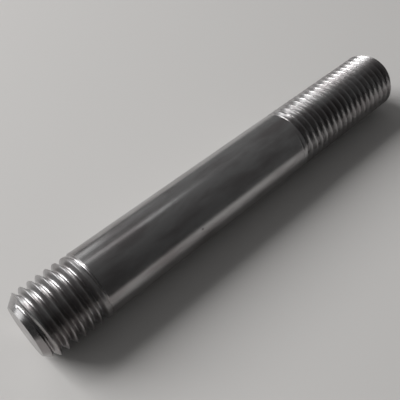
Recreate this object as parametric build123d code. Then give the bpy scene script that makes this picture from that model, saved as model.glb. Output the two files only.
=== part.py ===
from build123d import *
import math
import os

# Double-ended stud bolt, M16 x 2 coarse right-hand thread on both ends, 100 mm nominal length.
# Sizes are in mm.  The stud stands on Z = 0 with its axis on Z, as it stands in a casting: the
# short metal end, which stays screwed into the casting, is down, and the nut end is up.

thread_diameter = 16.0
pitch = 2.0
shank_diameter = thread_diameter              # the thread is cut in plain bar of its own size
nominal_length = 100.0                        # shank and nut end, what stands out of the casting
metal_end_length = thread_diameter            # one diameter, with its run-out
nut_end_length = 2 * thread_diameter + 6.0    # full thread only, its run-out lies beyond
overall_length = metal_end_length + nominal_length

flank_angle = 30.0                            # each flank, from a plane square to the axis
thread_depth = 0.6134 * pitch                 # crest to root of a metric bolt thread
root_width = pitch / 6
chamfer_angle = 40.0                          # from the axis, at both tips
tip_diameter = 0.75 * thread_diameter         # well below the root, so that a nut starts easily
runout_turns = 1.0                            # where the groove climbs out of the bar
metal_start_turn = 0.345                      # where its groove meets the tip, round the bar
finished_roll = -0.225 * 360                  # degrees the finished stud is turned on its axis

cutter_proud = 0.15                           # how far the cutter stands out of the bar
cutter_lead_in = pitch                        # how far the cutter starts beyond the tip

bar_radius = thread_diameter / 2
runout_length = runout_turns * pitch
chamfer_length = (thread_diameter - tip_diameter) / 2 / math.tan(math.radians(chamfer_angle))


def plain_bar():
    """Round bar of the full length, standing on Z = 0."""
    low_end = (Align.CENTER, Align.CENTER, Align.MIN)
    return Cylinder(shank_diameter / 2, overall_length, align=low_end)


def groove_section(turn, height, lift=0.0):
    """Section of the thread's groove at one turn of the helix, raised out of the bar by lift."""
    root_radius = bar_radius - thread_depth
    top_radius = bar_radius + cutter_proud
    flank = (top_radius - root_radius) * math.tan(math.radians(flank_angle))
    half_root = root_width / 2
    corners = Polyline(
        (root_radius + lift, -half_root),
        (top_radius + lift, -half_root - flank),
        (top_radius + lift, half_root + flank),
        (root_radius + lift, half_root),
        close=True,
    )
    angle = math.radians(turn * 360)
    outwards = (math.cos(angle), math.sin(angle), 0)
    across = (math.sin(angle), -math.cos(angle), 0)
    return Plane(origin=(0, 0, height), x_dir=outwards, z_dir=across) * make_face(corners)


def helix_path(turn, height, turns):
    """Right-hand helix on the bar's surface, one edge a turn, rising from the given turn and height."""
    whole_turns = math.floor(turns)
    steps = [1.0] * whole_turns + [turns - whole_turns]
    coils = [
        Pos(0, 0, height + i * pitch) * Rot(0, 0, turn * 360) * Helix(pitch, step * pitch, bar_radius)
        for i, step in enumerate(steps)
        if step > 0.001
    ]
    return Wire(coils)


def cut_thread(bar, full_reach, start_turn=0.0):
    """Cut a thread up from the tip on Z = 0, full to full_reach and fading out above it."""
    first_turn = start_turn - cutter_lead_in / pitch
    full_turns = (full_reach + cutter_lead_in) / pitch
    last_turn = first_turn + full_turns
    groove = sweep(
        groove_section(first_turn, -cutter_lead_in),
        path=helix_path(first_turn, -cutter_lead_in, full_turns),
        is_frenet=True,
    )
    faded = groove_section(
        last_turn + runout_turns, full_reach + runout_length, lift=thread_depth + cutter_proud / 3
    )
    runout = sweep(
        [groove_section(last_turn, full_reach), faded],
        path=helix_path(last_turn, full_reach, runout_turns),
        is_frenet=True,
        multisection=True,
    )
    return bar - groove - runout


def chamfer_tip(bar):
    """Turn the long chamfer on the tip that stands on Z = 0."""
    slope = math.tan(math.radians(chamfer_angle))
    outside = bar_radius + pitch
    waste = Polyline(
        (tip_diameter / 2 - slope * pitch, -pitch),
        (bar_radius, chamfer_length),
        (outside, chamfer_length),
        (outside, -pitch),
        close=True,
    )
    return bar - revolve(Plane.XZ * make_face(waste), Axis.Z)


def turned_over(bar):
    """The bar stood on its other end."""
    return Pos(0, 0, overall_length) * Rot(180, 0, 0) * bar


def stud():
    """The finished stud, stood on its metal end."""
    metal_full_thread = metal_end_length - runout_length
    bar = chamfer_tip(cut_thread(plain_bar(), metal_full_thread, metal_start_turn))
    bar = chamfer_tip(cut_thread(turned_over(bar), nut_end_length))
    return Rot(0, 0, finished_roll) * turned_over(bar)


def main():
    os.makedirs("parts", exist_ok=True)
    finished = stud()
    export_step(finished, "parts/stud.step")
    print("size", finished.bounding_box().size, "volume", round(finished.volume, 1))
    print("solids", len(finished.solids()), "valid", finished.is_valid)


main()
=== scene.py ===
import math
import bpy
from mathutils import Matrix, Vector


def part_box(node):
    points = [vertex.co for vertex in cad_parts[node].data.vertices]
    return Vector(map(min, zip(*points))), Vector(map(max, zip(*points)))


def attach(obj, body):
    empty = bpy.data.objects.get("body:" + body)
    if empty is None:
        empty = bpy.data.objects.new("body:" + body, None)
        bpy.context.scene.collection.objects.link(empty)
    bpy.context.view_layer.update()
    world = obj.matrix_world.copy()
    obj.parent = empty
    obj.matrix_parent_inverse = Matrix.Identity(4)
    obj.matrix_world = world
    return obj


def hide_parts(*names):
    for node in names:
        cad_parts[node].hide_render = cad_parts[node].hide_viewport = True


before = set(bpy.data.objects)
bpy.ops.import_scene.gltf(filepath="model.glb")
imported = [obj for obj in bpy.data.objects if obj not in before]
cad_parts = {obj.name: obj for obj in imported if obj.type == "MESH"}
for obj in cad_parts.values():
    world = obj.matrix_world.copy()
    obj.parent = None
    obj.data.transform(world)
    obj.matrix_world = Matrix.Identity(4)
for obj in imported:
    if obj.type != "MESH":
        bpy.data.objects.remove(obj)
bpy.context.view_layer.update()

# The stud stands on its metal end in the frame, but it is shown lying down.  So the pale
# surface is a plane along its side, and the camera and lamps are given as the stud lies:
# along = from the metal end's tip towards the nut end, across = to the far side,
# up = off the surface.
studLow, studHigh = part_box("stud")
barRadius = (studHigh.x - studLow.x) / 2
studLength = studHigh.z


def asLaid(along, across, up):
    return Vector((-across, barRadius - up, along))


def linear(hexColour):
    # an sRGB hex value as linear red, green, blue and alpha
    parts = [int(hexColour[i:i + 2], 16) / 255 for i in (1, 3, 5)]
    return [c / 12.92 if c <= 0.04045 else ((c + 0.055) / 1.055) ** 2.4 for c in parts] + [1.0]


def addNode(tree, kind, settings=None, links=None):
    # one node with its settings, and links given as {its input: another node's output}
    node = tree.nodes.new(kind)
    for name, value in (settings or {}).items():
        if isinstance(name, int) or name in node.inputs:
            node.inputs[name].default_value = value
        else:
            setattr(node, name, value)
    for name, source in (links or {}).items():
        tree.links.new(source, node.inputs[name])
    return node


def newMaterial(name):
    material = bpy.data.materials.new(name)
    material.use_nodes = True
    material.node_tree.nodes.clear()
    return material, material.node_tree


steel = {
    "clean": "#B6B5B5",
    "stained": "#9B9797",               # the faint film that bare steel gets
    "filmScale": (220, 220, 60),
    "filmDetail": 3.0,
    "filmRange": (0.42, 0.62),          # noise values at which the film starts and is full
    "shankRoughness": 0.19,
    "tipRoughness": 0.25,
    "metalRoughness": 0.34,             # the cut threads are duller than the drawn shank
    "nutRoughness": 0.24,
    "tipTop": (0.0018, 0.0026),         # heights where the tip's finish turns into the thread's
    "midShank": (0.03, 0.06),           # and where the metal end's turns into the nut end's
    "shankEnds": (0.016, 0.076),
    "shankFade": (-0.0008, 0.0002),     # where the shank's finish fades, from its ends inwards
    "streakScale": (2600, 2600, 45),    # about 0.4 mm wide and 20 mm long
    "streakDetail": 4.0,
    "streakRange": (0.3, 0.7),          # noise values of the smoothest and the dullest streaks
    "streakRoughness": 0.08,            # added in the dullest streaks
    "streakDepth": 7e-6,
    "noiseRoughness": 0.6,
    "ringScale": 4000,                  # turning marks about 0.25 mm apart
    "ringDetail": 2.0,
    "ringDepth": 1e-6,
    "darkSpot": (0.00745, -0.00291, 0.0415),
    "darkSpotRadius": 0.0003,
    "darkSpotCore": 0.6,                     # the part of its radius that is fully dark
    "darkSpotColour": "#4A4544",
}


def stretchedNoise(tree, place, scale, detail):
    # noise drawn out along the stud's axis
    spread = addNode(tree, "ShaderNodeMapping", {"Scale": scale}, {"Vector": place})
    return addNode(tree, "ShaderNodeTexNoise", {
        "Scale": 1.0, "Detail": detail, "Roughness": steel["noiseRoughness"]}, {
        "Vector": spread.outputs["Vector"]}).outputs["Fac"]


def brightSteel():
    # cold-drawn carbon steel with cut threads, bare and lightly handled: drawing streaks along
    # the shank, duller threads, and a faint uneven film
    material, tree = newMaterial("bright drawn steel")
    place = addNode(tree, "ShaderNodeTexCoord").outputs["Object"]
    height = addNode(tree, "ShaderNodeSeparateXYZ", links={"Vector": place}).outputs["Z"]
    low, high = steel["shankEnds"]
    outside, inside = steel["shankFade"]
    above = addNode(tree, "ShaderNodeMapRange", {
        "From Min": low + outside, "From Max": low + inside}, {"Value": height})
    below = addNode(tree, "ShaderNodeMapRange", {
        "From Min": high - outside, "From Max": high - inside}, {"Value": height})
    onShank = addNode(tree, "ShaderNodeMath", {"operation": "MULTIPLY"}, {
        0: above.outputs["Result"], 1: below.outputs["Result"]}).outputs["Value"]
    streaks = stretchedNoise(tree, place, steel["streakScale"], steel["streakDetail"])
    film = stretchedNoise(tree, place, steel["filmScale"], steel["filmDetail"])
    bare, covered = steel["filmRange"]
    filmed = addNode(tree, "ShaderNodeMapRange", {"From Min": bare, "From Max": covered}, {
        "Value": film})
    tint = addNode(tree, "ShaderNodeMix", {
        "data_type": "RGBA", 6: linear(steel["clean"]), 7: linear(steel["stained"])}, {
        0: filmed.outputs["Result"]})
    ridges = addNode(tree, "ShaderNodeMath", {"operation": "MULTIPLY"}, {0: streaks, 1: onShank})
    tipTop, threadFrom = steel["tipTop"]
    metalEnd = addNode(tree, "ShaderNodeMapRange", {
        "From Min": tipTop, "From Max": threadFrom, "To Min": steel["tipRoughness"],
        "To Max": steel["metalRoughness"]}, {"Value": height})
    metalTop, nutFrom = steel["midShank"]
    threads = addNode(tree, "ShaderNodeMapRange", {
        "From Min": metalTop, "From Max": nutFrom, "To Max": steel["nutRoughness"]}, {
        "Value": height, "To Min": metalEnd.outputs["Result"]})
    plain = addNode(tree, "ShaderNodeMapRange", {"To Max": steel["shankRoughness"]}, {
        "Value": onShank, "To Min": threads.outputs["Result"]})
    smoothest, dullest = steel["streakRange"]
    uneven = addNode(tree, "ShaderNodeMapRange", {
        "From Min": smoothest, "From Max": dullest, "To Min": 0.0,
        "To Max": steel["streakRoughness"]}, {"Value": ridges.outputs["Value"]})
    roughness = addNode(tree, "ShaderNodeMath", {"operation": "ADD"}, {
        0: plain.outputs["Result"], 1: uneven.outputs["Result"]})
    # turning marks run round the axis on the threads, the chamfers and the end faces
    flatPlace = addNode(tree, "ShaderNodeVectorMath", {"operation": "MULTIPLY"}, {0: place})
    flatPlace.inputs[1].default_value = (1, 1, 0)
    fromAxis = addNode(tree, "ShaderNodeVectorMath", {"operation": "LENGTH"}, {
        0: flatPlace.outputs["Vector"]})
    section = addNode(tree, "ShaderNodeCombineXYZ", links={
        "X": fromAxis.outputs["Value"], "Z": height})
    rings = addNode(tree, "ShaderNodeTexNoise", {
        "Scale": steel["ringScale"], "Detail": steel["ringDetail"]}, {
        "Vector": section.outputs["Vector"]})
    offShank = addNode(tree, "ShaderNodeMath", {"operation": "SUBTRACT", 0: 1.0}, {1: onShank})
    marks = addNode(tree, "ShaderNodeMath", {"operation": "MULTIPLY"}, {
        0: rings.outputs["Fac"], 1: offShank.outputs["Value"]})
    ringBump = addNode(tree, "ShaderNodeBump", {"Strength": 1.0, "Distance": steel["ringDepth"]}, {
        "Height": marks.outputs["Value"]})
    bump = addNode(tree, "ShaderNodeBump", {"Strength": 1.0, "Distance": steel["streakDepth"]}, {
        "Height": ridges.outputs["Value"], "Normal": ringBump.outputs["Normal"]})
    # one small dark spot in the shank's colour
    fromDarkSpot = addNode(tree, "ShaderNodeVectorMath", {"operation": "DISTANCE"}, {0: place})
    fromDarkSpot.inputs[1].default_value = steel["darkSpot"]
    spotted = addNode(tree, "ShaderNodeMapRange", {
        "From Min": steel["darkSpotRadius"] * steel["darkSpotCore"], "From Max": steel["darkSpotRadius"]}, {
        "Value": fromDarkSpot.outputs["Value"]})
    colour = addNode(tree, "ShaderNodeMix", {"data_type": "RGBA", 6: linear(steel["darkSpotColour"])}, {
        0: spotted.outputs["Result"], 7: tint.outputs[2]})
    shader = addNode(tree, "ShaderNodeBsdfPrincipled", {"Metallic": 1.0}, {
        "Base Color": colour.outputs[2], "Roughness": roughness.outputs["Value"],
        "Normal": bump.outputs["Normal"]})
    addNode(tree, "ShaderNodeOutputMaterial", links={"Surface": shader.outputs["BSDF"]})
    return material


thread = {
    # sizes in millimetres; a reach is how far up from its tip a groove keeps its full depth
    "pitch": 2.0,
    "depth": 1.2268,
    "halfMouth": 7 / 16,     # half the groove's width at the bar's surface, in pitches
    "flankSlope": math.tan(math.radians(60)),
    "metalReach": 14.0,
    "nutReach": 38.0,
    "metalTurn": -0.12,      # where each groove starts, in turns about the axis
    "nutTurn": 0.225,
    "tipRadius": 6.0,
    "chamferSlope": math.tan(math.radians(40)),
    "metalCrest": 0.09,      # the crests are softened by this much, more on the metal end
    "nutCrest": 0.05,
    "rootRound": 0.30,
    "parting": 1 / 3,        # the part of the length that is worked out from the metal end
    "smoothAngle": 32,
}
winding = {
    "columns": 96,
    # rows from one groove to the next, as parts of a pitch, closest on the crest
    "rows": (0, 0.06, 0.11, 0.17, 0.24, 0.36, 0.41, 0.445, 0.47,
             0.50, 0.53, 0.555, 0.59, 0.64, 0.76, 0.83, 0.89, 0.94),
    "firstTurn": -1,
    "shankFrom": 10,         # the turns between which the strip climbs quickly, along the shank
    "shankTo": 15,
    "shankPitches": 21,      # pitches that it climbs there beyond one for each turn
    "lastTurn": 37,
    "joinWithin": 2e-6,      # the strip's edges are joined where they are this close, in metres
}


def softCorner(value, blend):
    # zero below the corner and the value itself above it, rounded across the corner
    if value >= blend:
        return value
    return (value + blend) ** 2 / (4 * blend) if value > -blend else 0.0


def grooveDepth(offset, lift, crest):
    # depth of a 60 degree groove at a distance from its middle, when it is raised by lift
    flank = (thread["pitch"] * thread["halfMouth"] - abs(offset)) * thread["flankSlope"]
    deep = thread["depth"] - softCorner(thread["depth"] - flank, thread["rootRound"])
    return softCorner(deep - lift, crest)


def threadDepth(turn, height, start, reach, crest, fromTip):
    # how deep one of the two threads is at this place, its groove climbing out beyond its reach
    pitch = thread["pitch"]
    middle = pitch * (turn + start)
    offset = (height - middle + pitch / 2) % pitch - pitch / 2
    along = fromTip(height - offset)
    fade = min(max((along - reach) / pitch, 0.0), 1.0)
    return grooveDepth(offset, fade * (thread["depth"] + crest), crest)


def barSurface(turn, height):
    # radius of the stud at this place, in millimetres
    length = studLength * 1000
    radius = barRadius * 1000
    if height < length * thread["parting"]:
        depth = threadDepth(turn, height, thread["metalTurn"], thread["metalReach"],
                            thread["metalCrest"], lambda h: h)
    else:
        depth = threadDepth(turn, height, thread["nutTurn"], thread["nutReach"],
                            thread["nutCrest"], lambda h: length - h)
    cone = thread["tipRadius"] + min(height, length - height) * thread["chamferSlope"]
    return min(radius - depth, cone)


def stripHeight(turn):
    # height of the winding strip's lower edge after so many turns
    pitch = thread["pitch"]
    low, high = winding["shankFrom"], winding["shankTo"]
    lowest = pitch * (low + thread["metalTurn"])
    highest = pitch * (high + thread["nutTurn"] + winding["shankPitches"])
    if turn <= low:
        return pitch * (turn + thread["metalTurn"])
    if turn >= high:
        return highest + pitch * (turn - high)
    return lowest + (highest - lowest) * (turn - low) / (high - low)


def threadedStud():
    # One strip wound up the bar with both threads, because no operator makes a groove that
    # fades out.  It starts as a grid, and its long sides meet one turn apart.
    columns, rows = winding["columns"], len(winding["rows"])
    turns = winding["lastTurn"] - winding["firstTurn"]
    bpy.ops.object.select_all(action="DESELECT")
    bpy.ops.mesh.primitive_grid_add(x_subdivisions=columns, y_subdivisions=rows * turns, size=1)
    piece = bpy.context.object
    piece.name = "stud_finished"
    length = studLength * 1000
    for vertex in piece.data.vertices:
        column = round((vertex.co.x + 0.5) * columns)
        row = round((vertex.co.y + 0.5) * rows * turns)
        turn = winding["firstTurn"] + row // rows + column / columns
        below = stripHeight(turn)
        height = below + winding["rows"][row % rows] * (stripHeight(turn + 1) - below)
        height = min(max(height, 0.0), length)
        radius = barSurface(turn, height)
        angle = 2 * math.pi * column / columns
        vertex.co = Vector((radius * math.cos(angle), radius * math.sin(angle), height)) / 1000
    bpy.ops.object.mode_set(mode="EDIT")
    bpy.ops.mesh.select_all(action="SELECT")
    bpy.ops.mesh.remove_doubles(threshold=winding["joinWithin"])
    bpy.ops.mesh.select_all(action="DESELECT")
    bpy.ops.mesh.select_non_manifold()
    bpy.ops.mesh.fill_holes(sides=0)
    bpy.ops.mesh.select_all(action="SELECT")
    bpy.ops.mesh.normals_make_consistent(inside=False)
    bpy.ops.object.mode_set(mode="OBJECT")
    bpy.ops.object.shade_smooth_by_angle(angle=math.radians(thread["smoothAngle"]))
    piece.data.materials.append(brightSteel())
    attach(piece, "root")
    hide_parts("stud")


threadedStud()
print("stud wound and finished")


surface = {
    "colour": "#C4C2C0",
    "roughness": 0.9,
    "specular": 0.2,
    "size": 0.6,
    "middle": (0.24, 0.23),   # along and across, so the stud lies near one corner of the board
}


def paleSurface():
    # matt painted board
    material, tree = newMaterial("matt pale board")
    board = addNode(tree, "ShaderNodeBsdfPrincipled", {
        "Base Color": linear(surface["colour"]), "Roughness": surface["roughness"],
        "Specular IOR Level": surface["specular"]})
    clear = addNode(tree, "ShaderNodeBsdfTransparent")
    side = addNode(tree, "ShaderNodeNewGeometry")
    # seen from behind the board is clear, so the stud shows from every side
    both = addNode(tree, "ShaderNodeMixShader", links={
        0: side.outputs["Backfacing"], 1: board.outputs["BSDF"], 2: clear.outputs["BSDF"]})
    addNode(tree, "ShaderNodeOutputMaterial", links={"Surface": both.outputs["Shader"]})
    return material


bpy.ops.object.select_all(action="DESELECT")
bpy.ops.mesh.primitive_plane_add(
    size=surface["size"], location=asLaid(*surface["middle"], 0),
    rotation=(math.radians(90), 0, 0))
board = bpy.context.object
board.name = "board"
board.data.materials.append(paleSurface())
print("surface laid")


view = {
    "place": (-0.0092, -0.0600, 0.1097),
    "forward": (0.4372, 0.4612, -0.7721),
    "right": (0.7257, -0.6880, 0.0),
    "lens": 50.1,
    "clip": (0.005, 20),
}


def turned(vector):
    # a direction given as the stud lies, turned into the frame
    along, across, up = vector
    return Vector((-across, -up, along))


cameraData = bpy.data.cameras.new("camera")
cameraData.lens = view["lens"]
cameraData.clip_start, cameraData.clip_end = view["clip"]
camera = bpy.data.objects.new("camera", cameraData)
bpy.context.scene.collection.objects.link(camera)
forward = turned(view["forward"]).normalized()
right = turned(view["right"]).normalized()
upward = right.cross(forward)
camera.matrix_world = Matrix.Translation(asLaid(*view["place"])) @ Matrix(
    (right, upward, -forward)).transposed().to_4x4()
bpy.context.scene.camera = camera


lamps = {
    # directions as the stud lies, distance and size in metres, strength in W
    "softbox": {"towards": (-0.46, 0.70, 0.585), "along": (1, 0, 0), "distance": 1.40,
                "length": 0.90, "width": 0.84, "power": 26.0},
    "fill": {"towards": (-0.62, -0.15, 0.70), "along": (0, 1, 0), "distance": 0.45,
             "length": 0.58, "width": 0.54, "power": 0.21, "reflected": False},
    "low window": {"towards": (-0.79, 0.52, 0.19), "along": (0.40, 0.86, -0.31), "distance": 1.0,
                   "length": 0.46, "width": 0.24, "power": 0.50},
    "ceiling tube": {"towards": (0.16, 0.51, 0.83), "along": (0.85, -0.52, 0), "distance": 1.0,
                     "length": 0.50, "width": 0.11, "power": 0.16},
    "far wall": {"towards": (-0.02, 0.91, 0.40), "along": (1, 0, 0), "distance": 1.0,
                 "length": 0.50, "width": 0.36, "power": 0.38},
}


def addLamp(name, lamp):
    # an area lamp that faces the middle of the stud, its length in the given direction
    data = bpy.data.lights.new(name, "AREA")
    data.shape = "RECTANGLE"
    data.size, data.size_y = lamp["length"], lamp["width"]
    data.energy = lamp["power"]
    piece = bpy.data.objects.new(name, data)
    piece.visible_glossy = lamp.get("reflected", True)
    bpy.context.scene.collection.objects.link(piece)
    towards = turned(lamp["towards"]).normalized()
    widthways = towards.cross(turned(lamp["along"])).normalized()
    target = asLaid(studLength / 2, 0, barRadius)
    piece.matrix_world = Matrix.Translation(target + towards * lamp["distance"]) @ Matrix(
        (widthways.cross(towards), widthways, towards)).transposed().to_4x4()


for name, lamp in lamps.items():
    addLamp(name, lamp)

room = {
    "brightSide": (0.69, 0.72, 0.0),   # the room is lighter ahead of the camera than behind it
    "spread": (-0.6, 1.0),             # cosine of the angle from that side, darkest and brightest
    "dark": 0.052,
    "bright": 0.24,
}
world = bpy.data.worlds.new("room")
world.use_nodes = True
tree = world.node_tree
tree.nodes.clear()
heading = addNode(tree, "ShaderNodeTexCoord")
ahead = addNode(tree, "ShaderNodeVectorMath", {"operation": "DOT_PRODUCT"}, {
    0: heading.outputs["Generated"]})
ahead.inputs[1].default_value = turned(room["brightSide"]).normalized()
darkAt, brightAt = room["spread"]
level = addNode(tree, "ShaderNodeMapRange", {
    "From Min": darkAt, "From Max": brightAt, "To Min": room["dark"], "To Max": room["bright"]}, {
    "Value": ahead.outputs["Value"]})
air = addNode(tree, "ShaderNodeBackground", links={"Strength": level.outputs["Result"]})
addNode(tree, "ShaderNodeOutputWorld", links={"Surface": air.outputs["Background"]})
bpy.context.scene.world = world
bpy.context.scene.view_settings.view_transform = "Standard"
print("lit")
